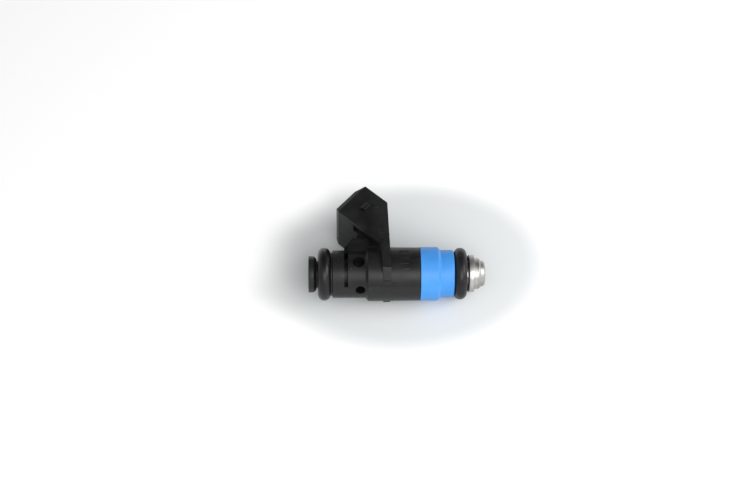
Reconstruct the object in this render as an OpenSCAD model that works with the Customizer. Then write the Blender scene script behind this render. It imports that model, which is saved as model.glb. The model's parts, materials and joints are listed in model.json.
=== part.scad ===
// Port fuel injector with a short body and an angled connector for two blades.
// X runs along the valve axis from the inlet to the nozzle, +Y is the connector
// side and Z is across. The origin is on the axis, at the middle of the rail
// O-ring. The connector is symmetric about the XY plane. Sizes are millimetres.

/* [Seals] */
// Distance between the middles of the two O-rings
seal_spacing = 38; // [37.5:0.1:38.5]
// Section diameter of both O-rings
ring_section = 3.53; // [3.4:0.01:3.6]
// Outer radius of the rail O-ring
rail_ring_r = 7.36; // [7.3:0.01:7.5]
// Outer radius of the manifold O-ring
manifold_ring_r = 7.24; // [7.2:0.01:7.4]

/* [Body] */
// Radius of the body between the rail O-ring and the coil
upper_body_r = 6.65; // [6.5:0.05:6.7]
// Radius of the body around the coil, at its shoulder
coil_body_r = 7.5; // [7.4:0.05:7.6]
// Amount that the moulding tapers over the coil
draft = 0.1; // [0:0.02:0.2]
// Where the body starts, next to the rail O-ring
body_start = 2.25; // [2.2:0.05:2.4]
// Where the shoulder up to the coil starts
shoulder_start = 11.4; // [11.2:0.1:11.6]
// Where the body ends, at the spacer ring
body_end = 26.75; // [26.6:0.05:26.9]
// Near side of the slot for the retaining clip
clip_slot_start = 5.57; // [5.4:0.01:5.7]
// Width of the slot for the retaining clip
clip_slot_w = 1.07; // [1:0.01:1.2]
// Depth of the slot for the retaining clip
clip_slot_depth = 1.3; // [1:0.1:1.5]

/* [Connector] */
// Angle between the mating direction and the valve axis
mate_angle = 42; // [40:0.5:44]
// Width of the shroud across the two blades
shroud_w = 17.2; // [17:0.1:17.6]
// Thickness of the shroud
shroud_t = 11.4; // [11.2:0.1:11.6]
// Height of the shroud's middle plane above the valve axis, square to mating
shroud_mid = 19.8; // [19.6:0.1:20]
// Reach of the shroud's mouth along the mating direction
mouth_reach = 8.6; // [8.4:0.1:8.8]
// Depth of the shroud's cavity
cavity_depth = 7.4; // [7:0.1:7.6]
// Thickness of the shroud's side cheeks
cheek_t = 1.2; // [1.1:0.1:1.3]
// Thickness of the shroud's wide walls
wide_wall_t = 1.4; // [1.3:0.1:1.5]
// Width of a contact blade
blade_w = 2.8; // [2.6:0.1:2.8]
// Thickness of a contact blade
blade_t = 0.8; // [0.6:0.1:0.8]
// Distance between the two contact blades
blade_pitch = 5; // [4.8:0.1:5.2]

/* [Spacer and nozzle] */
// Radius of the spacer ring's wide end
spacer_r = 7.5; // [7.4:0.05:7.6]
// Radius of the spacer ring's narrow end
spacer_small_r = 6.63; // [6.5:0.01:6.7]
// Radius of the nozzle cap's flange
cap_flange_r = 5.25; // [5.1:0.05:5.4]
// Length of the nozzle cap
cap_length = 4.13; // [4.1:0.01:4.2]

/* [Valve] */
// Lift of the needle between the seat and the pole
needle_lift = 0.08; // [0.06:0.01:0.1]
// Radius of the valve ball
ball_r = 1.5; // [1.45:0.01:1.5]
// Number of spray holes in the orifice disk
spray_holes = 4; // [2:1:6]
// Radius of a spray hole
spray_hole_r = 0.08; // [0.06:0.01:0.12]
// Number of turns of the return spring
spring_turns = 8; // [6:1:9]
// Radius of the return spring's wire
spring_wire_r = 0.22; // [0.18:0.01:0.24]

/* [Hidden] */
$fn = 96;
// Clearance between pieces that are fixed together
gap = 0.03;
// Extra length of a cutting tool past the face that it opens
over = 0.5;
ring_r = ring_section / 2;
// How far the crown of an O-ring is flattened into a short cylindrical land
crown = 0.02;

// Inlet: the flange ring and the sleeve under the rail O-ring
inlet_end = -4.4;
flange_r = 5.07;
flange_tip_r = 4.3;
flange_edge = -2.9;
flange_back = -2.2;
tube_r = 3;
tube_bore_r = 2.25;
rail_groove_r = rail_ring_r + crown - ring_section - gap;
backup_washer_r = 6.1;
tube_end = 11.9;
filter_rim_end = -2.4;
filter_end = 5.5;
filter_mouth_r = 1.4;
filter_mesh_r = 1.62;

// Body
shoulder_end = 12.2;
clip_slot_end = clip_slot_start + clip_slot_w;
clip_slot_low = -6;
clip_slot_high = 4.1;
clip_slot_web = 2.2;
core_half_w = 4;
core_low_h = 6.3;
core_high_h = 7.4;
parting_drop = 6.4;
parting_step = 0.08;
side_pocket_x = 9.55;
side_pocket_r = 1.7;
low_pocket_x = 10.05;
low_pocket_r = 1.4;
low_pocket_angle = 164;
// The mould pins reach the fuel tube, so its steel shows in the pockets
pocket_floor_r = tube_r - 0.1;

// Connector frame: n is square to mating, away from the body; m is mating
half_w = shroud_w / 2;
cheek_in = half_w - cheek_t;
n_low = shroud_mid - shroud_t / 2;
n_high = shroud_mid + shroud_t / 2;
m_floor = mouth_reach - cavity_depth;
m_back = m_floor - 1.2;
ridge_bevel = 0.7;
ridge_end_m = -8.2;
lip_bevel_length = 1.7;
lip_bevel_depth = 0.45;
lip_corner = [22.6, 7.2];
cheek_back_m = -1;
leg_low = -5.7;
leg_front = [16.34, 15.7];
leg_back = 18.62;
leg_top = 4.8;
leg_in = 4.8;
leg_inset = 0.15;
leg_taper_start = -3;
leg_tip_half_w = 7.1;
block_half_w = 5.1;
block_nose = [7.9, 7.3];
block_top = 8.7;
block_low = 2;
web_half_w = 4.6;
web_front = [8.8, 9];
web_back = [16.9, 14];
web_low = 6;
lug = [20.3, 3];
lug_size = [2.6, 2.6, 1.1];

// Magnetic circuit
housing_r = 6.6;
housing_wall = 0.55;
housing_start = 12.5;
housing_end = 26.3;
bobbin_start = 13.6;
bobbin_end = 24.8;
bobbin_flange_t = 0.8;
bobbin_flange_r = 5.95;
bobbin_wall = 0.5;
winding_r = 5.7;
shell_wall = 0.3;
shell_start = 17;
shell_end = 28.4;
shell_in = tube_r + gap;
shell_out = shell_in + shell_wall;
tower_half_w = 4.2;
tower_start = 12;
tower_low = 4;
tower_top = 5.9;
notch_half_w = blade_pitch / 2 + blade_t;
blade_x = 12.9;
blade_tip_m = 7.2;
blade_point = 1.1;
blade_point_w = 1.2;
blade_stem_w = 1.6;
core_bore_r = 1.6;
core_neck_r = 2.2;
core_neck_start = 9;
pole_face = 21.4;
adjuster_start = 12.5;
adjuster_end = 16.5;
adjuster_bore_r = 0.8;

// Valve
air_gap = needle_lift + 0.02;
armature_r = tube_r - gap;
armature_start = pole_face + air_gap;
armature_end = 27.2;
spring_pocket_r = 1.52;
spring_pocket_end = 24.1;
spring_r = 1.22;
needle_r = 1.1;
needle_bore_r = 0.7;
needle_start = 24.6;
window_x = [30, 37.5];
window_r = 0.5;
seat_half_angle = 45;
seat_clear = 0.015;
seat_start = 41.05;
seat_end = 42.75;
seat_r = 2.48;
seat_exit_r = 0.5;
seat_apex = 43.1;
ball_x = seat_apex - ball_r / sin(seat_half_angle) - seat_clear;
guide_start = 39.8;
disk_t = 0.16;
spray_circle_r = 0.42;
valve_start = 26.35;
valve_shoulder = 36.15;
valve_big_r = spacer_r - 2.3;
valve_groove_r = manifold_ring_r + crown - ring_section - gap;
valve_step = 42;
valve_tip_r = 3;
valve_end = 43.6;
valve_bore_r = 2.2;
seat_bore_r = seat_r + gap;

// Nozzle end
cap_start = 40.73;
cap_end = cap_start + cap_length;
washer_start = 40.08;
washer_r = 5.15;
spacer_end = 36.2;
spacer_step = 31.7;
spacer_step_end = 32.4;

// A point in the XY plane from its n and m
function place(n, m) = [
    n * sin(mate_angle) - m * cos(mate_angle),
    n * cos(mate_angle) + m * sin(mate_angle)
];

// A solid turned about the valve axis, from points of radius and X
module turned(points) {
    rotate([0, 90, 0])
        rotate_extrude()
            polygon(points);
}

// A tube about the valve axis
module tube(start, end, outer, inner) {
    turned([[inner, start], [outer, start], [outer, end], [inner, end]]);
}

// A solid rod about the valve axis
module rod(start, end, radius) {
    translate([start, 0, 0])
        rotate([0, 90, 0])
            cylinder(h = end - start, r = radius);
}

// A box from its two corners
module block(low, high) {
    translate(low)
        cube(high - low);
}

// Geometry in the connector's frame, where x is n and y is m
module mated() {
    rotate([0, 0, 90 - mate_angle])
        children();
}

// A flat outline in the XY plane, made solid between two values of Z
module slab(points, low, high) {
    translate([0, 0, low])
        linear_extrude(height = high - low)
            polygon(points);
}

// The same piece on both sides of the plane of symmetry
module both_sides() {
    children();
    mirror([0, 0, 1])
        children();
}

// An O-ring whose crown carries a short cylindrical land
module o_ring(x, outer) {
    intersection() {
        translate([x, 0, 0])
            rotate([0, 90, 0])
                rotate_extrude()
                    translate([outer + crown - ring_r, 0])
                        circle(r = ring_r);
        rod(x - ring_section, x + ring_section, outer);
    }
}

// The height at which a line of constant n crosses a given X
function height_at(x, n) = (n - x * sin(mate_angle)) / cos(mate_angle);

// A contact blade, stamped flat, grown by a clearance to cut its own slot
module blade(side, grow) {
    middle = side * blade_pitch / 2;
    half = blade_w / 2 + grow;
    left = blade_x - blade_stem_w / 2 - grow;
    right = blade_x + blade_stem_w / 2 + grow;
    slab([
        [left, tower_top + gap - grow],
        [right, tower_top + gap - grow],
        [right, height_at(right, shroud_mid + half)],
        place(shroud_mid + half, blade_tip_m - blade_point),
        place(shroud_mid + blade_point_w / 2, blade_tip_m),
        place(shroud_mid - blade_point_w / 2, blade_tip_m),
        place(shroud_mid - half, blade_tip_m - blade_point),
        [left, height_at(left, shroud_mid - half)]
    ], middle - blade_t / 2 - grow, middle + blade_t / 2 + grow);
}

// Corners of the shroud's side, from its lower wall round to its upper wall
function mouth_corners() = [
    place(n_low, mouth_reach - lip_bevel_length),
    place(n_low + lip_bevel_depth, mouth_reach),
    place(lip_corner[0], mouth_reach),
    place(n_high, lip_corner[1])
];

// Outline of a cheek, with its leg down to the body
function cheek_outline() = concat(mouth_corners(), [
    place(n_high, cheek_back_m),
    [leg_back, leg_low],
    [leg_front[0], leg_low],
    [leg_front[1], leg_top]
]);

// The foot of a leg, from its cheek inwards to the body
module leg() {
    slab([
        [leg_back - 0.6, leg_top - 0.3],
        [leg_back - leg_inset, leg_low + leg_inset],
        [leg_front[0] + leg_inset, leg_low + leg_inset],
        [leg_front[1] + 0.3, leg_top - 0.3]
    ], leg_in, cheek_in + 0.1);
}

// Wedge that tapers the outer face at the foot of a leg
module leg_taper() {
    translate([leg_front[1] - over, 0, 0])
        rotate([90, 0, 90])
            linear_extrude(height = 5)
                polygon([
                    [leg_low - over, leg_tip_half_w],
                    [leg_low, leg_tip_half_w],
                    [leg_taper_start, half_w],
                    [leg_taper_start, half_w + over],
                    [leg_low - over, half_w + over]
                ]);
}

// Ramp that the plug's latch snaps over
module latch_lug() {
    mated()
        translate([lug[0] - lug_size[0] / 2, lug[1] - lug_size[1] / 2, half_w - 0.1])
            rotate([90, 0, 90])
                linear_extrude(height = lug_size[0])
                    polygon([
                        [0, 0],
                        [0, lug_size[2] + 0.1],
                        [0.8, lug_size[2] + 0.1],
                        [lug_size[1], 0.3],
                        [lug_size[1], 0]
                    ]);
}

// Wedges that taper the outside of the cheeks towards the mouth
module lip_bevels() {
    start = mouth_reach - lip_bevel_length;
    rise = lip_bevel_depth * (lip_bevel_length + over) / lip_bevel_length;
    both_sides()
        mated()
            translate([n_low - 1, 0, 0])
                rotate([90, 0, 90])
                    linear_extrude(height = shroud_t + 2)
                        polygon([
                            [start, half_w],
                            [mouth_reach + over, half_w - rise],
                            [mouth_reach + over, half_w + 1],
                            [start, half_w + 1]
                        ]);
}

// Bevels along the two lower ridges of the shroud
module ridge_bevels() {
    side = ridge_bevel * sqrt(2);
    both_sides()
        mated()
            translate([n_low, ridge_end_m, half_w])
                rotate([-90, 0, 0])
                    rotate([0, 0, 45])
                        translate([-side / 2, -side / 2, 0])
                            cube([side, side, mouth_reach + over - ridge_end_m]);
}

// Cheeks, legs, web and shroud before the cavities are cut
module connector_solid() {
    both_sides() {
        slab(cheek_outline(), cheek_in, half_w);
        leg();
    }
    // Shroud, with its upper wall reaching back behind the cavity's floor
    slab(concat(mouth_corners(), [
        place(n_high, cheek_back_m + 0.2),
        place(n_high - wide_wall_t, cheek_back_m + 0.2),
        place(n_high - wide_wall_t, m_back),
        place(n_low, m_back)
    ]), -cheek_in - 0.1, cheek_in + 0.1);
    // Low block above the body, with a sloping front
    slab([
        [clip_slot_end, block_low],
        [clip_slot_end, block_nose[1]],
        [block_nose[0], block_top],
        [shoulder_end + 0.3, block_top],
        [shoulder_end + 0.3, block_low]
    ], -block_half_w, block_half_w);
    // Core of the low block beside the clip slot
    slab([
        [clip_slot_start, block_low],
        [clip_slot_start, core_low_h],
        [clip_slot_end + 0.1, core_high_h],
        [clip_slot_end + 0.1, block_low]
    ], -core_half_w, core_half_w);
    // Web that holds the blades
    slab([
        [web_front[0], web_low],
        web_front,
        place(n_low + 1, 0.4),
        place(n_high - 0.5, 0.4),
        place(n_high - 0.5, cheek_back_m),
        web_back,
        [web_back[0], web_low]
    ], -web_half_w, web_half_w);
}

// Round pocket that a mould pin leaves, square to the valve axis
module mould_pocket(x, angle, radius) {
    rotate([angle, 0, 0])
        translate([x, 0, 0])
            rotate([-90, 0, 0])
                translate([0, 0, pocket_floor_r])
                    cylinder(h = coil_body_r, r = radius, $fn = 48);
}

// Black moulding with the connector, around everything from rail to spacer
module overmould_body() {
    color("#2b2d2f")
    difference() {
        union() {
            turned([
                [0, flange_back + gap],
                [rail_groove_r, flange_back + gap],
                [rail_groove_r, body_start],
                [upper_body_r - 0.3, body_start],
                [upper_body_r, body_start + 0.3],
                [upper_body_r, shoulder_start],
                [coil_body_r - 0.3, shoulder_end - 0.25],
                [coil_body_r - 0.15, shoulder_end - 0.15],
                [coil_body_r, shoulder_end],
                [coil_body_r - draft, body_end],
                [0, body_end]
            ]);
            // Strip below the parting step
            intersection() {
                turned([
                    [0, shoulder_end],
                    [coil_body_r + parting_step, shoulder_end],
                    [coil_body_r + parting_step - draft, body_end],
                    [0, body_end]
                ]);
                block([0, -coil_body_r - 1, -coil_body_r], [body_end, -parting_drop, coil_body_r]);
            }
            difference() {
                connector_solid();
                lip_bevels();
                ridge_bevels();
            }
            both_sides()
                latch_lug();
        }
        both_sides()
            leg_taper();
        // Cavity of the connector
        mated()
            block([n_low + wide_wall_t, m_floor, -cheek_in],
                [n_high - wide_wall_t, mouth_reach + 3, cheek_in]);
        // Step behind the lower wall
        mated()
            block([n_low - 1, m_back - 1, -cheek_in], [n_low + 0.9, m_floor + 0.5, -web_half_w]);
        mated()
            block([n_low - 1, m_back - 1, web_half_w], [n_low + 0.9, m_floor + 0.5, cheek_in]);
        // Slot for the retaining clip, on both sides
        both_sides() {
            intersection() {
                tube(clip_slot_start, clip_slot_end, coil_body_r + 1, upper_body_r - clip_slot_depth);
                block([0, clip_slot_low, clip_slot_web], [shoulder_end, clip_slot_high + 0.1, coil_body_r]);
            }
            block([clip_slot_start, clip_slot_high, core_half_w], [clip_slot_end, block_top, coil_body_r]);
            mould_pocket(side_pocket_x, 90, side_pocket_r);
        }
        mould_pocket(low_pocket_x, low_pocket_angle, low_pocket_r);
        // Bore for the fuel tube, chamber for the coil, seat for the valve body
        rod(inlet_end, tube_end + 0.1, tube_r + gap);
        rod(tube_end, housing_start, shell_out + gap);
        rod(housing_start - gap, housing_end + gap, housing_r + gap);
        rod(housing_end, body_end + over, valve_big_r + gap);
        block([tower_start - gap, tower_low, -tower_half_w - gap],
            [bobbin_start, tower_top + gap, tower_half_w + gap]);
        blade(-1, gap);
        blade(1, gap);
    }
}

// Steel fuel tube
module inlet_tube() {
    color("silver")
    turned([
        [tube_bore_r + 0.3, inlet_end + 0.2],
        [tube_r, inlet_end + 0.2],
        [tube_r, tube_end],
        [tube_bore_r, tube_end],
        [tube_bore_r, inlet_end + 0.5]
    ]);
}

// Black flange ring that keeps the rail O-ring on
module inlet_flange_ring() {
    color("#202224")
    turned([
        [tube_r + gap, inlet_end],
        [flange_r - 0.2, inlet_end],
        [flange_r, inlet_end + 0.2],
        [flange_r, flange_edge],
        [flange_tip_r, flange_back],
        [tube_r + gap, flange_back]
    ]);
}

// Rubber O-ring that seals in the fuel rail
module rail_o_ring() {
    color("#18191a")
    o_ring(0, rail_ring_r);
}

// Thin black washer behind the rail O-ring
module rail_backup_washer() {
    color("#222426")
    tube(ring_r + gap, body_start - gap, backup_washer_r, rail_groove_r + gap);
}

// Plastic cage of the inlet filter: a rim, four ribs and an end cap
module filter_cage() {
    rib_out = 2.05;
    cap_r = 1.9;
    cap_start = filter_end - 0.8;
    color("peru")
    difference() {
        union() {
            tube(inlet_end + 0.6, filter_rim_end, tube_bore_r - gap, filter_mouth_r);
            rod(cap_start, filter_end, cap_r);
            for (i = [0 : 3])
                rotate([45 + 90 * i, 0, 0]) {
                    block([filter_rim_end - 0.2, filter_mesh_r, -0.3], [filter_end - 0.2, rib_out, 0.3]);
                    block([cap_start - 0.1, 1, -0.3], [filter_end - 0.2, cap_r - 0.05, 0.3]);
                }
        }
        rod(filter_rim_end - 0.8, cap_start, filter_mesh_r - 0.02);
    }
}

// Fine mesh sleeve inside the filter cage
module filter_mesh() {
    color("lightgray")
    tube(filter_rim_end - 0.7, filter_end - 0.9, filter_mesh_r - 0.05, filter_mesh_r - 0.17);
}

// Steel core that the armature is drawn to
module pole_core() {
    color("darkgray")
    turned([
        [core_bore_r, core_neck_start],
        [core_neck_r, core_neck_start],
        [core_neck_r, tube_end + gap],
        [tube_r, tube_end + gap],
        [tube_r, pole_face],
        [core_bore_r, pole_face]
    ]);
}

// Split tube that sets the force of the return spring
module adjusting_tube() {
    color("silver")
    difference() {
        tube(adjuster_start, adjuster_end, core_bore_r - gap, adjuster_bore_r);
        block([adjuster_start - over, adjuster_bore_r - 0.2, -0.15],
            [adjuster_end + over, core_bore_r + 0.2, 0.15]);
    }
}

// A ring of the spring's wire, at one point of the helix
function wire_ring(x, radius, angle, sides) = [
    for (j = [0 : sides - 1])
        let (r = radius + spring_wire_r * cos(360 * j / sides))
            [x + spring_wire_r * sin(360 * j / sides), r * cos(angle), r * sin(angle)]
];

// Return spring between the adjusting tube and the armature
module return_spring() {
    steps_per_turn = 16;
    sides = 8;
    steps = spring_turns * steps_per_turn;
    start = adjuster_end + gap + spring_wire_r;
    end = spring_pocket_end - gap - spring_wire_r;
    closed = 2 * spring_wire_r + 0.03;
    free = (end - start - 2 * closed) / (spring_turns - 2);
    function along(turn) = turn < 1 ? closed * turn
        : turn > spring_turns - 1 ? end - start - closed * (spring_turns - turn)
        : closed + free * (turn - 1);
    points = [
        for (i = [0 : steps])
            each wire_ring(start + along(i / steps_per_turn), spring_r, 360 * i / steps_per_turn, sides)
    ];
    walls = [
        for (i = [0 : steps - 1], j = [0 : sides - 1])
            let (a = i * sides + j, b = i * sides + (j + 1) % sides)
                [a, b, b + sides, a + sides]
    ];
    first = [for (j = [sides - 1 : -1 : 0]) j];
    last = [for (j = [0 : sides - 1]) steps * sides + j];
    color("lightsteelblue")
    polyhedron(points = points, faces = concat(walls, [first, last]), convexity = 10);
}

// Thin non-magnetic sleeve across the air gap
module nonmagnetic_shell() {
    color("gainsboro")
    tube(shell_start, shell_end, shell_out, shell_in);
}

// Steel washer that closes the top of the magnetic circuit
module flux_washer() {
    color("dimgray")
    difference() {
        tube(housing_start, bobbin_start - gap, housing_r - housing_wall - gap, tube_r + gap);
        block([tower_start, tower_low - gap, -tower_half_w - gap],
            [bobbin_start, coil_body_r, tower_half_w + gap]);
    }
}

// Plastic bobbin with the tower that holds the feet of the blades
module coil_bobbin() {
    color("saddlebrown")
    union() {
        tube(bobbin_start, bobbin_end, shell_out + gap + bobbin_wall, shell_out + gap);
        tube(bobbin_start, bobbin_start + bobbin_flange_t, bobbin_flange_r, shell_out + gap);
        tube(bobbin_end - bobbin_flange_t, bobbin_end, bobbin_flange_r, shell_out + gap);
        intersection() {
            block([tower_start, tower_low, -tower_half_w], [bobbin_start + 0.1, tower_top, tower_half_w]);
            rod(tower_start, bobbin_start + 0.2, bobbin_flange_r + 0.05);
        }
    }
}

// Copper winding
module coil_winding() {
    color("chocolate")
    tube(bobbin_start + bobbin_flange_t + gap, bobbin_end - bobbin_flange_t - gap,
        winding_r, shell_out + 2 * gap + bobbin_wall);
}

// Steel can around the coil
module coil_housing() {
    color("gray")
    difference() {
        turned([
            [housing_r - housing_wall, housing_start],
            [housing_r, housing_start],
            [housing_r, housing_end],
            [shell_out + gap, housing_end],
            [shell_out + gap, bobbin_end + gap],
            [housing_r - housing_wall, bobbin_end + gap]
        ]);
        block([housing_start - over, tower_low, -notch_half_w], [bobbin_start, coil_body_r, notch_half_w]);
    }
}

// Contact blades
module blade_left() {
    color("silver")
    blade(-1, 0);
}

module blade_right() {
    color("silver")
    blade(1, 0);
}

// Steel valve body, from the coil to the nozzle
module valve_body() {
    color("lightgray")
    turned([
        [shell_out + gap, valve_start],
        [valve_big_r, valve_start],
        [valve_big_r, valve_shoulder],
        [valve_groove_r, valve_shoulder],
        [valve_groove_r, valve_step],
        [valve_tip_r, valve_step + 0.1],
        [valve_tip_r, valve_end],
        [seat_bore_r, valve_end],
        [seat_bore_r, guide_start - gap],
        [valve_bore_r, guide_start - gap],
        [valve_bore_r, shell_end + gap],
        [shell_out + gap, shell_end + gap]
    ]);
}

// Steel armature, with a pocket for the spring and a bore for the needle
module armature() {
    color("slategray")
    difference() {
        rod(armature_start, armature_end, armature_r);
        rod(armature_start - over, spring_pocket_end, spring_pocket_r);
        rod(armature_start, armature_end, needle_bore_r);
        rod(needle_start, armature_end + over, needle_r + 0.01);
    }
}

// Needle tube between the armature and the ball, with two fuel windows
module needle_tube() {
    color("silver")
    difference() {
        tube(needle_start + 0.02, ball_x - 0.4, needle_r, needle_bore_r);
        translate([ball_x, 0, 0])
            sphere(r = ball_r + 0.01);
        for (i = [0 : 1])
            translate([window_x[i], 0, 0])
                rotate([90 * i, 0, 0])
                    cylinder(h = 4 * needle_r, r = window_r, center = true, $fn = 32);
    }
}

// Ball that closes on the seat
module valve_ball() {
    color("white")
    translate([ball_x, 0, 0])
        sphere(r = ball_r);
}

// Guide ring around the ball, with flow notches
module ball_guide() {
    notches = 5;
    color("gray")
    difference() {
        tube(guide_start, seat_start - gap, seat_r, ball_r + 0.03);
        for (i = [0 : notches - 1])
            rotate([360 * i / notches, 0, 0])
                block([guide_start - over, 1.2, -0.35], [seat_start + over, 1.95, 0.35]);
    }
}

// Seat with a conical face that the ball closes on
module valve_seat() {
    cone_start_r = (seat_apex - seat_start - 0.3) * tan(seat_half_angle);
    color("silver")
    turned([
        [cone_start_r, seat_start],
        [seat_r, seat_start],
        [seat_r, seat_end],
        [seat_exit_r, seat_end],
        [seat_exit_r, seat_apex - seat_exit_r / tan(seat_half_angle)],
        [cone_start_r, seat_start + 0.3]
    ]);
}

// Disk with the spray holes
module orifice_disk() {
    color("goldenrod")
    difference() {
        rod(seat_end + gap, seat_end + gap + disk_t, seat_r);
        for (i = [0 : spray_holes - 1])
            rotate([360 * (i + 0.5) / spray_holes, 0, 0])
                translate([seat_end, spray_circle_r, 0])
                    rotate([0, 90, 0])
                        cylinder(h = 1, r = spray_hole_r, center = true, $fn = 24);
    }
}

// Ring that presses the orifice disk against the seat
module orifice_backup_ring() {
    start = seat_end + 2 * gap + disk_t;
    color("silver")
    turned([
        [0.9, start],
        [seat_r, start],
        [seat_r, valve_end - 0.05],
        [1.5, valve_end - 0.05]
    ]);
}

// Stepped steel cap that keeps the manifold O-ring on
module nozzle_cap() {
    color("lightsteelblue")
    turned([
        [valve_groove_r + gap, cap_start],
        [cap_flange_r - 0.1, cap_start],
        [cap_flange_r, cap_start + 0.1],
        [cap_flange_r, cap_start + 1.05],
        [cap_flange_r - 0.13, cap_start + 1.18],
        [4.38, cap_start + 1.18],
        [4.3, cap_start + 2.35],
        [3.95, cap_start + 2.8],
        [3.68, cap_start + 2.8],
        [3.55, cap_end - 0.75],
        [3.35, cap_end - 0.3],
        [3, cap_end - 0.06],
        [2.75, cap_end],
        [1.9, cap_end],
        [1.9, cap_end - 0.6],
        [2.3, valve_end + gap],
        [valve_tip_r + gap, valve_end + gap],
        [valve_tip_r + gap, valve_step + 0.15],
        [valve_groove_r + gap, valve_step + 0.05]
    ]);
}

// Thin black washer between the manifold O-ring and the cap
module manifold_washer() {
    color("#1d1e20")
    tube(washer_start, cap_start - gap, washer_r, valve_groove_r + gap);
}

// Rubber O-ring that seals in the intake manifold
module manifold_o_ring() {
    color("#18191a")
    o_ring(seal_spacing, manifold_ring_r);
}

// Light blue plastic ring between the body and the manifold O-ring
module spacer_ring() {
    color("#5fb0ff")
    turned([
        [valve_big_r + gap, body_end + gap],
        [spacer_r - 0.1, body_end + gap],
        [spacer_r, body_end + 0.15],
        [spacer_r, spacer_step - 0.1],
        [spacer_r - 0.05, spacer_step],
        [spacer_small_r, spacer_step_end],
        [spacer_small_r, spacer_end - 0.45],
        [spacer_small_r - 0.1, spacer_end - 0.15],
        [spacer_small_r - 0.4, spacer_end],
        [valve_big_r + gap, spacer_end]
    ]);
}

overmould_body();
inlet_tube();
inlet_flange_ring();
rail_o_ring();
rail_backup_washer();
filter_cage();
filter_mesh();
pole_core();
adjusting_tube();
return_spring();
nonmagnetic_shell();
flux_washer();
coil_bobbin();
coil_winding();
coil_housing();
blade_left();
blade_right();
valve_body();
armature();
needle_tube();
valve_ball();
ball_guide();
valve_seat();
orifice_disk();
orifice_backup_ring();
nozzle_cap();
manifold_washer();
manifold_o_ring();
spacer_ring();
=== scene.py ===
# %% [markdown]
# # A port fuel injector
#
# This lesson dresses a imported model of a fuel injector: a black moulding with an
# angled connector, two rubber O-rings, a light blue spacer ring and a turned
# steel nozzle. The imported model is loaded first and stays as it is. New, finer
# pieces are then modelled over the nodes that show, and every node that stays
# gets a better finish. The valve axis runs along +X, the connector points to +Y
# and +Z is up, so the injector lies on the cheek at -Z.

import json
import math

import bmesh
import bpy
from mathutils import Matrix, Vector

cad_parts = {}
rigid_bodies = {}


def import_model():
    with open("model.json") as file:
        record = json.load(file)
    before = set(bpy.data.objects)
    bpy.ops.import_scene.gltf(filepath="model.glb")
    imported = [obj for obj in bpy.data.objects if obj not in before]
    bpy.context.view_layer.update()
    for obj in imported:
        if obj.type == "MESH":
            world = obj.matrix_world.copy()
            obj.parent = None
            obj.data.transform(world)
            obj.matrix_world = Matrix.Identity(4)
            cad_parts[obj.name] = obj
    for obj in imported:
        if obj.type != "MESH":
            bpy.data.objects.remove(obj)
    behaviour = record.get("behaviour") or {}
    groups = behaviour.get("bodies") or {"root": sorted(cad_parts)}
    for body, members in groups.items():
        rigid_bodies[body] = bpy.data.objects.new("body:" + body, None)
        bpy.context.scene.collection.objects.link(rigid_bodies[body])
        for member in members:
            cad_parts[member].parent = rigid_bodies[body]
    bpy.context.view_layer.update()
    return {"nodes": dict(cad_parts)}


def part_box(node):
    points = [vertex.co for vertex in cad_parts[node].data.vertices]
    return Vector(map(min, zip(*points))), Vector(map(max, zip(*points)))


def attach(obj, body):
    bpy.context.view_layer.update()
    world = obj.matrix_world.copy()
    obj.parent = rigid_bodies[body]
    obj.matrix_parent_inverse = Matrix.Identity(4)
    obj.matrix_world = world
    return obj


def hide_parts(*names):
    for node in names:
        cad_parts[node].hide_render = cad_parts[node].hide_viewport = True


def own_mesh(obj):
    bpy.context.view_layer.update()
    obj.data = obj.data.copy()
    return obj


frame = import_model()
nodes = frame["nodes"]

# %% [markdown]
# ## Working in millimetres
#
# The model is in metres, and a fillet of a tenth of a millimetre is then 0.0001,
# which is close to the distance at which Blender's tools take two points as one.
# Every piece is therefore shaped at one unit to the millimetre, as on a bench,
# and brought down to size when it is finished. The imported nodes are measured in
# the same unit, so that each new piece takes its place from them.

# %% Millimetres and measuring
MM = 0.001
MERGE = 0.0005  # points nearer than this, in millimetres, become one


def measure(node):
    """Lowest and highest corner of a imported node, in millimetres."""
    low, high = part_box(node)
    return [v / MM for v in low], [v / MM for v in high]


def span(node):
    """Where a turned node starts and ends along the axis, and its radius."""
    low, high = measure(node)
    return low[0], high[0], high[2]


print("spacer ring from %.2f to %.2f mm, radius %.2f mm" % span("spacer_ring"))

# %% [markdown]
# An operator works on everything that is selected, and loading leaves the packed
# nodes selected. These helpers clear the bench before each new piece is started,
# take up one piece, and run operators on the whole of it.

# %% Clearing the bench
def clear_bench():
    """Leaves edit mode and deselects everything."""
    if bpy.context.object and bpy.context.object.mode != "OBJECT":
        bpy.ops.object.mode_set(mode="OBJECT")
    bpy.ops.object.select_all(action="DESELECT")


def pick(piece):
    """Makes one piece the only one that is selected."""
    clear_bench()
    piece.select_set(True)
    bpy.context.view_layer.objects.active = piece


def edit_all(piece, *steps):
    """Runs edit mode operators in turn, each on the whole mesh of a piece."""
    pick(piece)
    for operator, settings in steps:
        bpy.ops.object.mode_set(mode="EDIT")
        bpy.ops.mesh.select_all(action="SELECT")
        operator(**settings)
        bpy.ops.object.mode_set(mode="OBJECT")


OUTWARD = (bpy.ops.mesh.normals_make_consistent, {"inside": False})
clear_bench()
print("nothing is selected")

# %% [markdown]
# ## Turned pieces
#
# Most of an injector is turned on a lathe or moulded round. A screw modifier
# would make such a shape from a profile, but extruding a ring step by step is how
# it is done by hand, and each step is a plain move along the axis and a resize.
# The last step comes back to the first, so the wall is closed, and doubles are
# merged there. Sharp corners are then rounded by a bevel on steep edges only.

# %% A ring extruded round its own section
SEGMENTS = 128


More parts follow.
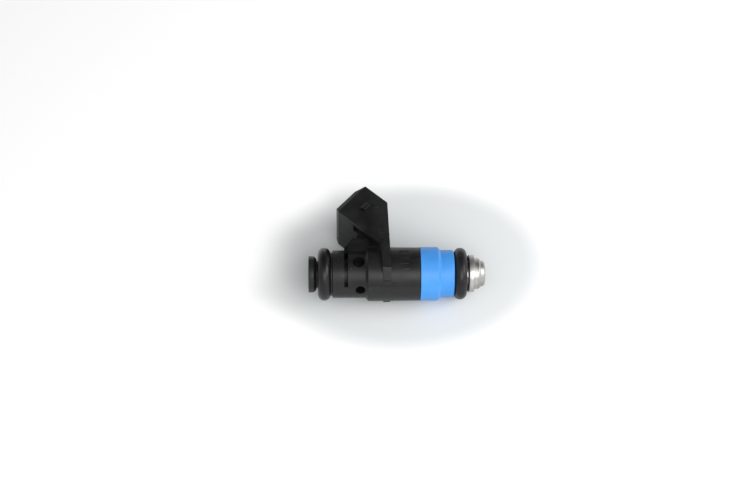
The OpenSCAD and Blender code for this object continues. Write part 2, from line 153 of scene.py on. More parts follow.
def turn(name, stations, segments=SEGMENTS):
    """A closed ring about the X axis from stations of place and radius."""
    clear_bench()
    x, r = stations[0]
    bpy.ops.mesh.primitive_circle_add(
        vertices=segments, radius=r, fill_type="NOTHING",
        location=(x, 0, 0), rotation=(0, math.pi / 2, 0))
    piece = bpy.context.object
    piece.name = name
    bpy.ops.object.transform_apply(location=True, rotation=True, scale=True)
    bpy.ops.object.mode_set(mode="EDIT")
    bpy.ops.mesh.select_all(action="SELECT")
    for (x0, r0), (x1, r1) in zip(stations, stations[1:] + stations[:1]):
        bpy.ops.mesh.extrude_region_move(TRANSFORM_OT_translate={"value": (x1 - x0, 0, 0)})
        bpy.ops.transform.resize(value=(1, r1 / r0, r1 / r0), center_override=(x1, 0, 0))
    edit_all(piece, (bpy.ops.mesh.remove_doubles, {"threshold": MERGE}), OUTWARD)
    return piece


def apply_modifier(piece, kind, name, **settings):
    """Adds a modifier with its settings and applies it."""
    pick(piece)
    modifier = piece.modifiers.new(name, kind)
    for key, value in settings.items():
        setattr(modifier, key, value)
    bpy.ops.object.modifier_apply(modifier=modifier.name)


def round_edges(piece, width, segments=3, steeper_than=28):
    """Rounds every edge that is steeper than an angle in degrees."""
    apply_modifier(
        piece, "BEVEL", "round", width=width, segments=segments,
        limit_method="ANGLE", angle_limit=math.radians(steeper_than),
        use_clamp_overlap=True, miter_outer="MITER_ARC")


print("a ring has %d segments" % SEGMENTS)

# %% [markdown]
# ## Flat moulded pieces
#
# The connector is a box of flat plates that meet at odd angles. Each plate starts
# as a filled circle with one corner for each corner of its outline; the corners
# are moved to their places and the face is extruded to its thickness. Tapers are
# sawn off with bisect. Plates are then joined or cut by the boolean modifier with
# its exact solver, which keeps the flat faces flat.

# %% Plates extruded from an outline
FLAT_BELOW = math.radians(15)  # an edge with a smaller bend isn't bevelled


def plate(name, outline, low, high):
    """An outline in the XY plane, made solid from low to high Z."""
    clear_bench()
    bpy.ops.mesh.primitive_circle_add(
        vertices=len(outline), fill_type="NGON", location=(0, 0, low))
    piece = bpy.context.object
    piece.name = name
    bpy.ops.object.transform_apply(location=True, rotation=True, scale=True)
    bpy.ops.object.mode_set(mode="EDIT")
    mesh = bmesh.from_edit_mesh(piece.data)
    for vert, corner in zip(mesh.verts, outline):
        vert.co = (*corner, low)
    bmesh.update_edit_mesh(piece.data)
    upwards = {"value": (0, 0, high - low)}
    edit_all(piece, (
        bpy.ops.mesh.extrude_region_move, {"TRANSFORM_OT_translate": upwards}), OUTWARD)
    return piece


def saw(piece, point, normal):
    """Cuts away what lies beyond a plane, and closes the cut."""
    edit_all(piece, (bpy.ops.mesh.bisect, {
        "plane_co": point, "plane_no": normal, "use_fill": True, "clear_outer": True}))


def bevel_where(piece, wanted, width, segments=3):
    """Bevels the sharp edges whose middle passes a test."""
    pick(piece)
    bpy.ops.object.mode_set(mode="EDIT")
    bpy.ops.mesh.select_mode(type="EDGE")
    bpy.ops.mesh.select_all(action="DESELECT")
    mesh = bmesh.from_edit_mesh(piece.data)
    for edge in mesh.edges:
        middle = (edge.verts[0].co + edge.verts[1].co) / 2
        sharp = edge.calc_face_angle(0) > FLAT_BELOW
        edge.select_set(bool(sharp and wanted(middle)))
    bmesh.update_edit_mesh(piece.data)
    bpy.ops.mesh.bevel(
        offset=width, segments=segments, affect="EDGES", clamp_overlap=True)
    bpy.ops.object.mode_set(mode="OBJECT")


def open_edges(piece):
    """The number of edges that don't join exactly two faces."""
    mesh = bmesh.new()
    mesh.from_mesh(piece.data)
    count = sum(not edge.is_manifold for edge in mesh.edges)
    mesh.free()
    return count


def combine(piece, tool, operation):
    """Joins, cuts or intersects a piece with a tool, which is used up."""
    apply_modifier(
        piece, "BOOLEAN", "combine", operation=operation, object=tool, solver="EXACT")
    bpy.data.objects.remove(tool, do_unlink=True)


def mirrored(piece):
    """A copy of a piece with its own mesh, across the plane of symmetry."""
    pick(piece)
    bpy.ops.object.duplicate(linked=False)
    twin = bpy.context.object
    twin.scale = (1, 1, -1)
    bpy.ops.object.transform_apply(location=True, rotation=True, scale=True)
    edit_all(twin, OUTWARD)
    return twin


def drum(name, radius, depth, start, angle, x):
    """A round pin square to the axis, at an angle round it, from a radius outwards."""
    clear_bench()
    turned_by = math.radians(angle)
    out = Vector((0, math.cos(turned_by), math.sin(turned_by)))
    bpy.ops.mesh.primitive_cylinder_add(
        vertices=48, radius=radius, depth=depth,
        location=Vector((x, 0, 0)) + out * (start + depth / 2),
        rotation=(turned_by - math.pi / 2, 0, 0))
    piece = bpy.context.object
    piece.name = name
    bpy.ops.object.transform_apply(location=True, rotation=True, scale=True)
    return piece


print("plates, saws and drums are ready")

# %% [markdown]
# ## The camera
#
# The camera stands half a metre in front and looks down at about 58 degrees,
# with a long lens, as for a catalogue picture. Three unit vectors give its
# turn: its right, its up and its back.

# %% Camera
CAMERA_PLACE = (3.877, -239.09, 395.457)
CAMERA_RIGHT = (0.99972, -0.01578, 0.01761)
CAMERA_UP = (0.00406, 0.84809, 0.52984)
CAMERA_BACK = (-0.02329, -0.52962, 0.84792)
LENS = 78.9
SENSOR = 36
NEAREST, FURTHEST = 0.01, 20


def set_camera():
    """A camera with a long lens and no blur or shift."""
    lens = bpy.data.cameras.new("camera")
    lens.lens = LENS
    lens.sensor_width = SENSOR
    lens.clip_start, lens.clip_end = NEAREST, FURTHEST
    lens.dof.use_dof = False
    camera = bpy.data.objects.new("camera", lens)
    bpy.context.scene.collection.objects.link(camera)
    for column, axis in enumerate((CAMERA_RIGHT, CAMERA_UP, CAMERA_BACK)):
        for row in range(3):
            camera.matrix_world[row][column] = axis[row]
    camera.matrix_world.translation = Vector(CAMERA_PLACE) * MM
    bpy.context.scene.camera = camera
    return camera


camera = set_camera()
print("camera at", [round(v, 3) for v in camera.matrix_world.translation])

# %% [markdown]
# ## Floor and light
#
# The injector lies on three points: the latch ramp and the leg of its lower
# cheek, and the manifold O-ring. The floor is a plane through those points, so
# that the contact shadows fall where they should. Its paper carries painted
# shade: a grey patch, darker round the object, that fades to white further out.

# %% Small helpers for nodes
def put(tree, kind, links=None, **settings):
    """Adds a shader node, sets it up, and links or fills its inputs."""
    node = tree.nodes.new("ShaderNode" + kind)
    for key, value in settings.items():
        setattr(node, key, value)
    for socket, source in (links or {}).items():
        if isinstance(source, bpy.types.NodeSocket):
            tree.links.new(source, node.inputs[socket])
        else:
            node.inputs[socket].default_value = source
    return node


def maths(tree, operation, *values):
    """A Math node, as its output."""
    return put(tree, "Math", dict(enumerate(values)), operation=operation).outputs[0]


def remap(tree, value, low, high, to_low, to_high):
    """A clamped Map Range, as its output."""
    return put(tree, "MapRange", {
        "Value": value, "From Min": low, "From Max": high,
        "To Min": to_low, "To Max": to_high}).outputs["Result"]


def blend_colours(tree, factor, first, second):
    """A Mix of two colours, as its output."""
    node = tree.nodes.new("ShaderNodeMix")
    node.data_type = "RGBA"
    for index, source in ((0, factor), (6, first), (7, second)):
        if isinstance(source, bpy.types.NodeSocket):
            tree.links.new(source, node.inputs[index])
        elif index:
            node.inputs[index].default_value = (*source, 1)
        else:
            node.inputs[index].default_value = source
    return node.outputs[2]


print("node helpers are ready")

# %% Floor
FLOOR_REST = ((11.6, 17.4, -9.7), (18.6, -3.0, -8.6), (38.0, 0.0, -7.24))
# The grey, centre, size and tint of the painted shade round the object.
FLOOR_SHADE_GREY = 0.65
FLOOR_FAR = 0.97
FLOOR_SHADE_CENTRE = (24.0, 7.8)
FLOOR_FLATTEN = 1.4
FLOOR_SHADE_RADII = (32.0, 47.0)
FLOOR_SHADE_TINT = (1.0, 1.03, 1.035)
FLOOR_RADIUS = 2.0
FLOOR_CLEAR = 0.02


def lay_floor():
    """A wide disc through the three points that the object lies on."""
    a, b, c = (Vector(p) * MM for p in FLOOR_REST)
    up = (b - a).cross(c - a).normalized()
    up = up if up.z > 0 else -up
    clear_bench()
    bpy.ops.mesh.primitive_circle_add(vertices=96, radius=FLOOR_RADIUS, fill_type="NGON")
    floor = bpy.context.object
    floor.name = "floor"
    floor.rotation_mode = "QUATERNION"
    floor.rotation_quaternion = Vector((0, 0, 1)).rotation_difference(up)
    floor.location = a - up * FLOOR_CLEAR * MM
    bpy.ops.object.transform_apply(location=True, rotation=True, scale=True)
    return floor


def floor_paper():
    """White paper with painted shade: a soft grey patch round the object."""
    material = bpy.data.materials.new("floor_paper")
    material.use_nodes = True
    tree = material.node_tree
    shader = tree.nodes["Principled BSDF"]
    place_on = put(tree, "TexCoord").outputs["Object"]
    centred = put(tree, "Mapping", {
        "Vector": place_on,
        "Location": (-FLOOR_SHADE_CENTRE[0], -FLOOR_SHADE_CENTRE[1] * FLOOR_FLATTEN, 0),
        "Scale": (1 / MM, FLOOR_FLATTEN / MM, 0)}).outputs[0]
    away = put(tree, "VectorMath", {0: centred}, operation="LENGTH").outputs["Value"]
    # Painted shade: grey near the centre, fading to white between the two radii.
    patch = put(tree, "MapRange", {
        "Value": away, "From Min": FLOOR_SHADE_RADII[0], "From Max": FLOOR_SHADE_RADII[1],
        "To Min": 0.0, "To Max": 1.0}, interpolation_type="SMOOTHSTEP").outputs["Result"]
    shade_grey = tuple(FLOOR_SHADE_GREY * share for share in FLOOR_SHADE_TINT)
    colour = blend_colours(tree, patch, shade_grey, (FLOOR_FAR,) * 3)
    tree.links.new(colour, shader.inputs["Base Color"])
    shader.inputs["Roughness"].default_value = 0.9
    shader.inputs["Specular IOR Level"].default_value = 0.1
    return material


floor = lay_floor()
floor.data.materials.append(floor_paper())
print("floor height at the leg: %.2f mm" % FLOOR_REST[1][2])

# %% [markdown]
# The light is a white tent with two soft boxes: one near the camera, and one to
# the right, which makes the shadows fall to the left. The tent has a darker patch
# high at the back, and its walls are whiter in front. So the flat top of the
# connector stays black and the steel gets a grey side, while slanted faces catch
# the bright walls. The world's own direction is read for that, which stays put
# when the camera moves. A straight look at the tent shows plain white.

# %% Tent and soft boxes
TENT_FRONT = 1.05
TENT_BACK = 0.6
TENT_PATCH = 0.2
WALL_TURNS = (-0.5, 0.7)
PATCH_TOWARDS = (0.02, 0.53, 0.85)
PATCH_EDGE = (0.66, 0.94)
SOFT_BOXES = (
    # name, place, aim, width, power
    ("front_box", (110.0, -260.0, 330.0), (18.0, 4.0, 0.0), 240.0, 0.9),
    ("right_box", (360.0, -40.0, 260.0), (18.0, 4.0, 0.0), 240.0, 1.0),
)


def hang_tent():
    """A world that is white in front, greyer at the back, with a dark patch."""
    world = bpy.data.worlds.new("tent")
    bpy.context.scene.world = world
    world.use_nodes = True
    tree = world.node_tree
    direction = put(tree, "TexCoord").outputs["Generated"]
    towards = put(
        tree, "VectorMath", {0: direction, 1: PATCH_TOWARDS}, operation="DOT_PRODUCT")
    back = put(tree, "SeparateXYZ", {0: direction}).outputs["Y"]
    wall = remap(tree, back, *WALL_TURNS, TENT_FRONT, TENT_BACK)
    patch = remap(tree, towards.outputs["Value"], *PATCH_EDGE, 1.0, TENT_PATCH)
    level = maths(tree, "MULTIPLY", wall, patch)
    seen = put(tree, "LightPath").outputs["Is Camera Ray"]
    background = tree.nodes["Background"].inputs
    background["Color"].default_value = (1, 1, 1, 1)
    tree.links.new(maths(tree, "MAXIMUM", level, seen), background["Strength"])


def hang_soft_box(name, place_at, aim, width, power):
    """A square area light that faces a point."""
    light = bpy.data.lights.new(name, "AREA")
    light.shape = "SQUARE"
    light.size = width * MM
    light.energy = power
    box = bpy.data.objects.new(name, light)
    bpy.context.scene.collection.objects.link(box)
    box.location = Vector(place_at) * MM
    facing = (Vector(aim) - Vector(place_at)).normalized()
    box.rotation_euler = facing.to_track_quat("-Z", "Y").to_euler()


hang_tent()
for soft_box in SOFT_BOXES:
    hang_soft_box(*soft_box)
bpy.context.scene.view_settings.view_transform = "Standard"
print("%d soft boxes hang in the tent" % len(SOFT_BOXES))

# %% [markdown]
# ## Shared effects
#
# Four effects are used by more than one finish, so each is a node group that
# puts out masks and heights only: the fine grain of a moulded or sandblasted
# surface, the rings that a lathe tool leaves, dust, and edges painted lighter,
# which is partly wear and partly painted highlight.
# Object coordinates are in metres, and each group turns them into millimetres.

# %% Making a group
def new_group(name, inputs, outputs):
    """A node group with named number sockets and a vector in millimetres."""
    group = bpy.data.node_groups.new(name, "ShaderNodeTree")
    for label, value in inputs:
        socket = group.interface.new_socket(
            label, in_out="INPUT", socket_type="NodeSocketFloat")
        socket.default_value = value
    for label in outputs:
        group.interface.new_socket(label, in_out="OUTPUT", socket_type="NodeSocketFloat")
    given = group.nodes.new("NodeGroupInput")
    result = group.nodes.new("NodeGroupOutput")
    where = put(group, "TexCoord").outputs["Object"]
    in_mm = put(group, "VectorMath", {0: where, "Scale": 1 / MM}, operation="SCALE").outputs[0]
    return group, given, result, in_mm


# %% Fine grain
PATCH_NOISE = (0.32, 0.68)  # the part of the noise that is stretched from 0 to 1


def make_grain():
    """Small grain, and slow patches where the surface is a little lighter."""
    group, given, result, in_mm = new_group(
        "fine_grain", [("Grains per mm", 6.0), ("Patches per mm", 0.25)],
        ["Height", "Patches"])
    grain = put(group, "TexNoise", {
        "Vector": in_mm, "Scale": given.outputs["Grains per mm"],
        "Detail": 3.0, "Roughness": 0.6})
    patches = put(group, "TexNoise", {
        "Vector": in_mm, "Scale": given.outputs["Patches per mm"],
        "Detail": 2.0, "Roughness": 0.5})
    mask = remap(group, patches.outputs[0], *PATCH_NOISE, 0.0, 1.0)
    group.links.new(grain.outputs[0], result.inputs["Height"])
    group.links.new(mask, result.inputs["Patches"])
    return group


grain_group = make_grain()
print("made", grain_group.name)


# %% Turning lines
TINT_NOISE = (0.3, 0.7)
TINTS_PER_MM = 1.3


def make_turning():
    """Rings about the valve axis, on round faces and on end faces alike."""
    group, given, result, in_mm = new_group(
        "turning_lines", [("Lines per mm", 9.0)], ["Height", "Tint"])
    parts = put(group, "SeparateXYZ", {0: in_mm}).outputs
    radius = maths(group, "SQRT", maths(
        group, "ADD", maths(group, "MULTIPLY", parts[1], parts[1]),
        maths(group, "MULTIPLY", parts[2], parts[2])))
    section = put(group, "CombineXYZ", {0: parts[0], 1: radius}).outputs[0]
    fine = put(group, "TexNoise", {
        "Vector": section, "Scale": given.outputs["Lines per mm"], "Detail": 2.0},
        noise_dimensions="2D")
    slow = put(group, "TexNoise", {
        "Vector": section, "Scale": TINTS_PER_MM, "Detail": 1.0}, noise_dimensions="2D")
    tint = remap(group, slow.outputs[0], *TINT_NOISE, 0.0, 1.0)
    group.links.new(fine.outputs[0], result.inputs["Height"])
    group.links.new(tint, result.inputs["Tint"])
    return group


turning_group = make_turning()
print("made", turning_group.name)


# %% Dust
def make_dust():
    """Specks of dust: small spots in some cells of a scattered pattern."""
    group, given, result, in_mm = new_group(
        "dust", [("Cells per mm", 0.8), ("Speck size", 0.07), ("Share", 0.25)], ["Mask"])
    cells = put(group, "TexVoronoi", {
        "Vector": in_mm, "Scale": given.outputs["Cells per mm"]})
    draw = put(group, "SeparateColor", {0: cells.outputs["Color"]}).outputs[0]
    chosen = maths(group, "LESS_THAN", draw, given.outputs["Share"])
    spot = maths(group, "LESS_THAN", cells.outputs["Distance"], given.outputs["Speck size"])
    group.links.new(maths(group, "MULTIPLY", chosen, spot), result.inputs["Mask"])
    return group


dust_group = make_dust()
print("made", dust_group.name)


# %% Edge wear and painted edge highlight
BREAKS_PER_MM = 1.7
BREAK_NOISE = (0.35, 0.65)
LEAST_EDGE_LIGHT = 0.25


def make_wear_and_highlight():
    """Edges painted lighter, in patches: partly rubbed wear, partly painted highlight."""
    group, given, result, in_mm = new_group(
        "edge_wear_and_highlight", [("Start", 0.52), ("Full", 0.6)], ["Mask"])
    sharp = put(group, "NewGeometry").outputs["Pointiness"]
    edge = put(group, "MapRange", {
        "Value": sharp, "From Min": given.outputs["Start"], "From Max": given.outputs["Full"],
        "To Min": 0.0, "To Max": 1.0}).outputs["Result"]
    broken = put(group, "TexNoise", {
        "Vector": in_mm, "Scale": BREAKS_PER_MM, "Detail": 3.0}).outputs[0]
    left = remap(group, broken, *BREAK_NOISE, LEAST_EDGE_LIGHT, 1.0)
    group.links.new(maths(group, "MULTIPLY", edge, left), result.inputs["Mask"])
    return group


wear_and_highlight_group = make_wear_and_highlight()
print("made", wear_and_highlight_group.name)

# %% [markdown]
# ## Finishes
#
# A new material starts with its Principled shader, and these helpers place a
# group in it and drive one socket at a time. The numbers that are the same all
# over the surface are set on the shader itself.

# %% Starting a material
def new_material(name, metallic=0.0, roughness=0.5, specular=0.5, coat=0.0):
    """An empty material with its plain numbers set on the shader."""
    material = bpy.data.materials.new(name)
    material.use_nodes = True
    tree = material.node_tree
    shader = tree.nodes["Principled BSDF"]
    shader.inputs["Metallic"].default_value = metallic
    shader.inputs["Roughness"].default_value = roughness
    shader.inputs["Specular IOR Level"].default_value = specular
    shader.inputs["Coat Weight"].default_value = coat
    shader.inputs["Coat Roughness"].default_value = 0.25
    return material, tree, shader


def place_group(tree, group, **values):
    """A shared group in a material, as its outputs."""
    node = tree.nodes.new("ShaderNodeGroup")
    node.node_tree = group
    for label, value in values.items():
        node.inputs[label.replace("_", " ")].default_value = value
    return node.outputs


def add_bump(tree, shader, height, depth):
    """Lets a height, in millimetres from trough to crest, bend the light."""
    bump = put(tree, "Bump", {"Height": height, "Distance": depth * MM, "Strength": 1.0})
    tree.links.new(bump.outputs[0], shader.inputs["Normal"])


def drive(tree, shader, socket, source):
    """Feeds one socket of the shader."""
    tree.links.new(source, shader.inputs[socket])


# %% [markdown]
# The black parts are glass-filled nylon and rubber. Nylon is satin, with a fine
# grain from the tool, paler patches where the glass comes near the surface, and
# a little dust. Rubber is darker, smoother and moulded in one piece. A phosphated
# ring has the same black with a tighter grain.

# %% Black and coloured plastics
DUST_COLOUR = (0.35, 0.34, 0.32)
DUST_COVER = 0.35
PATCHES_PER_MM = 0.22
EDGE_LIGHT_GAIN, EDGE_LIGHT_LIFT = 2.2, 0.01


def plastic(name, dark, light, rough, grains, depth,
            dust=0.2, wear=0.25, specular=0.5, coat=0.0):
    """A moulded plastic or rubber with grain, patches, dust, and edges painted lighter as wear
    and as painted highlight.
    """
    material, tree, shader = new_material(
        name, roughness=sum(rough) / 2, specular=specular, coat=coat)
    grain = place_group(
        tree, grain_group, Grains_per_mm=grains, Patches_per_mm=PATCHES_PER_MM)
    specks = place_group(tree, dust_group, Share=dust)
    edges = place_group(tree, wear_and_highlight_group)
    colour = blend_colours(tree, grain["Patches"], dark, light)
    # Edges are painted lighter: partly wear, partly painted highlight.
    edge_light_colour = tuple(min(1.0, c * EDGE_LIGHT_GAIN + EDGE_LIGHT_LIFT) for c in light)
    colour = blend_colours(
        tree, maths(tree, "MULTIPLY", edges["Mask"], wear), colour, edge_light_colour)
    colour = blend_colours(
        tree, maths(tree, "MULTIPLY", specks["Mask"], DUST_COVER), colour, DUST_COLOUR)
    drive(tree, shader, "Base Color", colour)
    drive(tree, shader, "Roughness", remap(tree, grain["Patches"], 0.0, 1.0, *rough))
    add_bump(tree, shader, grain["Height"], depth)
    return material


PLASTICS = (
    # name, dark, light, roughness, grains per mm, grain depth in mm, the rest
    ("black_moulding", (0.0035, 0.0036, 0.0038), (0.008, 0.0082, 0.0084),
     (0.36, 0.46), 5.0, 0.012, {"specular": 0.28}),
    ("black_ring", (0.006, 0.006, 0.0065), (0.012, 0.012, 0.0125),
     (0.38, 0.48), 8.0, 0.008, {"specular": 0.28}),
    ("seal_rubber", (0.003, 0.003, 0.0035), (0.007, 0.007, 0.0075),
     (0.30, 0.40), 4.0, 0.006, {"dust": 0.3, "specular": 0.28}),
    ("blue_plastic", (0.043, 0.222, 0.585), (0.053, 0.252, 0.635),
     (0.38, 0.46), 5.0, 0.006, {"dust": 0.12, "wear": 0.15, "specular": 0.3}),
    ("bobbin_plastic", (0.26, 0.19, 0.11), (0.34, 0.26, 0.15),
     (0.45, 0.55), 5.0, 0.010, {}),
    ("filter_plastic", (0.36, 0.22, 0.09), (0.48, 0.31, 0.13),
     (0.40, 0.50), 5.0, 0.008, {}),
)
finishes = {}
for name, *numbers, rest in PLASTICS:
    finishes[name] = plastic(name, *numbers, **rest)
print("plastics:", sorted(finishes))

# %% [markdown]
# The steels are all turned or drawn, and differ in how bright they are. The
# rings that the tool leaves bend the reflections into lines round the axis, and
# a slow tint keeps the metal from looking like a mirror.

# %% Steels
BRIGHT_GAIN = 1.15


def steel(name, dark, light, rough, lines_mm, depth, wear=0.3):
    """A metal with turning lines, and edges painted bright as rubbed wear and as painted
    highlight.
    """
    material, tree, shader = new_material(name, metallic=1.0, roughness=sum(rough) / 2)
    lines = place_group(tree, turning_group, Lines_per_mm=lines_mm)
    grain = place_group(tree, grain_group, Grains_per_mm=3.0, Patches_per_mm=0.5)
    edges = place_group(tree, wear_and_highlight_group)
    colour = blend_colours(tree, lines["Tint"], dark, light)
    # Edges are painted brighter: partly wear, partly painted highlight.
    bright = tuple(min(1.0, c * BRIGHT_GAIN) for c in light)
    colour = blend_colours(
        tree, maths(tree, "MULTIPLY", edges["Mask"], wear), colour, bright)
    drive(tree, shader, "Base Color", colour)
    drive(tree, shader, "Roughness", remap(tree, grain["Patches"], 0.0, 1.0, *rough))
    add_bump(tree, shader, lines["Height"], depth)
    return material


STEELS = (
    # name, dark, light, roughness, lines per mm, line depth in mm
    ("nozzle_steel", (0.34, 0.335, 0.32), (0.46, 0.45, 0.43), (0.34, 0.42), 7.0, 0.0012),
    ("turned_steel", (0.55, 0.55, 0.54), (0.68, 0.68, 0.67), (0.22, 0.34), 8.0, 0.004),
    ("magnetic_steel", (0.36, 0.36, 0.37), (0.46, 0.46, 0.47), (0.34, 0.46), 6.0, 0.006),
    ("spring_steel", (0.46, 0.46, 0.48), (0.56, 0.56, 0.58), (0.25, 0.35), 5.0, 0.002),
    ("polished_ball", (0.74, 0.74, 0.75), (0.80, 0.80, 0.81), (0.06, 0.10), 4.0, 0.0004),
    ("tinned_blade", (0.66, 0.65, 0.61), (0.76, 0.75, 0.72), (0.36, 0.48), 5.0, 0.002),
)
for name, *numbers in STEELS:
    finishes[name] = steel(name, *numbers)
print("steels:", sorted(n for n in finishes if "steel" in n))

# %% [markdown]
# Two finishes carry a pattern of their own. The coil is a winding of enamelled
# copper wire, so its surface is a row of fine rounded ridges. The filter gauze is
# woven, so it has two sets of crossing ridges, one round it and one along it.

# %% Winding and gauze
WIRE_MM, WIRE_DEPTH = 0.19, 0.08
GAUZE_MM, GAUZE_DEPTH = 0.16, 0.05
GAUZE_R = 1.5


def ridges(tree, coordinate, pitch):
    """Rounded ridges along a coordinate in metres, from 0 to 1."""
    turns = maths(tree, "MULTIPLY", coordinate, math.pi / (pitch * MM))
    return maths(tree, "ABSOLUTE", maths(tree, "SINE", turns))


def winding():
    """Enamelled copper wire, wound side by side, with painted shade in the grooves between the
    wires.
    """
    material, tree, shader = new_material("copper_winding", metallic=1.0, roughness=0.3, coat=0.5)
    along = put(tree, "SeparateXYZ", {0: put(tree, "TexCoord").outputs["Object"]}).outputs["X"]
    wire = ridges(tree, along, WIRE_MM)
    grain = place_group(tree, grain_group, Grains_per_mm=2.0, Patches_per_mm=0.4)
    # The grooves between the wires are painted darker: painted shade.
    colour = blend_colours(tree, wire, (0.20, 0.07, 0.025), (0.62, 0.26, 0.11))
    drive(tree, shader, "Base Color", colour)
    drive(tree, shader, "Roughness", remap(tree, grain["Patches"], 0.0, 1.0, 0.25, 0.38))
    add_bump(tree, shader, wire, WIRE_DEPTH)
    return material


def gauze():
    """Woven gauze: ridges round the sleeve and ridges along it, with the gaps between the wires
    painted dark as painted shade.
    """
    material, tree, shader = new_material("filter_gauze", metallic=1.0, roughness=0.45)
    parts = put(tree, "SeparateXYZ", {0: put(tree, "TexCoord").outputs["Object"]}).outputs
    turn_angle = maths(tree, "ARCTAN2", parts["Z"], parts["Y"])
    around = maths(tree, "MULTIPLY", turn_angle, GAUZE_R * MM)
    weave = maths(
        tree, "MAXIMUM", ridges(tree, parts["X"], GAUZE_MM), ridges(tree, around, GAUZE_MM))
    # The gaps between the wires are painted nearly black: painted shade.
    colour = blend_colours(tree, weave, (0.05, 0.05, 0.05), (0.58, 0.58, 0.55))
    drive(tree, shader, "Base Color", colour)
    drive(tree, shader, "Roughness", remap(tree, weave, 0.0, 1.0, 0.7, 0.4))
    add_bump(tree, shader, weave, GAUZE_DEPTH)
    return material


finishes["copper_winding"] = winding()
finishes["filter_gauze"] = gauze()
print("%d finishes in all" % len(finishes))

# %% [markdown]
# ## Finishing a piece
# A finished piece is brought down from millimetres to metres, with its place in
# its mesh, and its steep edges stay crisp while the rest is shaded smooth. It is
# then put on the body it rides on and given the finish that its slot names, and
# the imported nodes that it stands for are hidden.

# %% From the bench to the frame
SHARP = math.radians(38)
LAST_MERGE = 0.0004


def finish_piece(piece, slot, body, replaced):
    """Scales, cleans and shades a piece, and fits it to the frame."""
    edit_all(piece, (bpy.ops.mesh.remove_doubles, {"threshold": LAST_MERGE}), OUTWARD)
    piece.scale = (MM, MM, MM)
    bpy.ops.object.transform_apply(location=True, rotation=True, scale=True)
    bpy.ops.object.shade_smooth_by_angle(angle=SHARP)
    apply_modifier(piece, "WEIGHTED_NORMAL", "even", keep_sharp=True)
    piece.data.materials.clear()
    piece.data.materials.append(finishes[slot])
    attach(piece, body)
    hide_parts(*replaced)
    print("%s: %d faces, %d open edges" % (
        piece.name, len(piece.data.polygons), open_edges(piece)))


BODY = "injector_body"

# %% [markdown]
# ## Rings at the inlet end
#
# The inlet has a black flange ring, then the rail O-ring and a thin washer. The
# flange ring is turned with a sloping back, which lets the O-ring roll on. Its
# outer edge has a small radius, which a bevel gives.

# %% Flange ring
FLANGE_BORE = 3.03
FLANGE_TIP_R = 4.3
FLANGE_SLOPE = 0.7
FLANGE_ROUND = 0.14

x0, x1, r = span("inlet_flange_ring")
flange_ring = turn("inlet_flange", [
    (x0, FLANGE_BORE), (x0, r), (x1 - FLANGE_SLOPE, r), (x1, FLANGE_TIP_R),
    (x1, FLANGE_BORE)])
round_edges(flange_ring, FLANGE_ROUND)
finish_piece(flange_ring, "black_ring", BODY, ["inlet_flange_ring"])

# %% [markdown]
# An O-ring is a torus, pressed a little flat where it sits in its groove. A thin
# flash line runs round it where the halves of its mould met. The section is
# extruded as one closed turn, so both show as real shape.

# %% O-rings
RING_SECTION_R = 1.765
CROWN = 0.02
FLASH = 0.018
FLATTENED = 0.12
RING_STEPS = 64
TOP_STEP = RING_STEPS // 4


def o_ring_stations(x, outer):
    """Section of an O-ring: flat at the groove, with a flash line at the crown."""
    centre = outer + CROWN - RING_SECTION_R
    stations = []
    for step in range(RING_STEPS):
        angle = 2 * math.pi * step / RING_STEPS
        across, out = math.cos(angle), math.sin(angle)
        r = centre + RING_SECTION_R * out
        r = max(r, centre - RING_SECTION_R + FLATTENED)
        if step == TOP_STEP:
            r = outer
        elif abs(step - TOP_STEP) == 1:
            r = min(r, outer - FLASH)
        else:
            r = min(r, outer - 0.5 * FLASH)
        stations.append((x + RING_SECTION_R * across, r))
    return stations


for node in ("rail_o_ring", "manifold_o_ring"):
    x0, x1, r = span(node)
    ring = turn(node + "_rubber", o_ring_stations((x0 + x1) / 2, r))
    finish_piece(ring, "seal_rubber", BODY, [node])

# %% [markdown]
# Each O-ring has a thin black washer beside it. The steel cap closes a little over
# the one at the manifold end, so that washer is made thinner and smaller.

# %% Washers
CAP_OVERLAP = 0.33
WASHER_SHY = 0.2
WASHER_ROUND = 0.08
WASHER_BORE = {"rail_backup_washer": 3.85, "manifold_washer": 3.74}

for node, bore in WASHER_BORE.items():
    x0, x1, r = span(node)
    if node == "manifold_washer":
        x1, r = x1 - CAP_OVERLAP, r - WASHER_SHY
    washer = turn(node + "_disc", [(x0, bore), (x0, r), (x1, r), (x1, bore)])
    round_edges(washer, WASHER_ROUND)
    finish_piece(washer, "black_ring", BODY, [node])

# %% [markdown]
# ## Spacer ring and nozzle
#
# The light blue spacer ring has a wide end, a short cone and a narrow end with a
# soft lip. It is moulded, so all of its edges carry a radius. The steel cap at
# the nozzle is turned: a flange, a drum, and a rounded snout with the outlet.

# %% Spacer ring
SPACER_BORE = 5.24
SPACER_NARROW_R = 6.63
SPACER_CONE = (31.7, 32.4)
SPACER_LIP = 0.45
SPACER_ROUND = 0.12

x0, x1, r = span("spacer_ring")
spacer = turn("spacer", [
    (x0, SPACER_BORE), (x0, r), (SPACER_CONE[0], r), (SPACER_CONE[1], SPACER_NARROW_R),
    (x1 - SPACER_LIP, SPACER_NARROW_R), (x1 - 0.12, SPACER_NARROW_R - 0.14),
    (x1, SPACER_NARROW_R - SPACER_LIP), (x1, SPACER_BORE)])
round_edges(spacer, SPACER_ROUND, steeper_than=20)
finish_piece(spacer, "blue_plastic", BODY, ["spacer_ring"])

# %% Nozzle cap
x0, x1, r = span("nozzle_cap")
CAP_BORE, TIP_BORE = 3.74, 3.05
CAP_FLANGE = 1.18
CAP_INSIDE = (42.05, 42.15, 43.63)
CAP_ROUND = 0.09

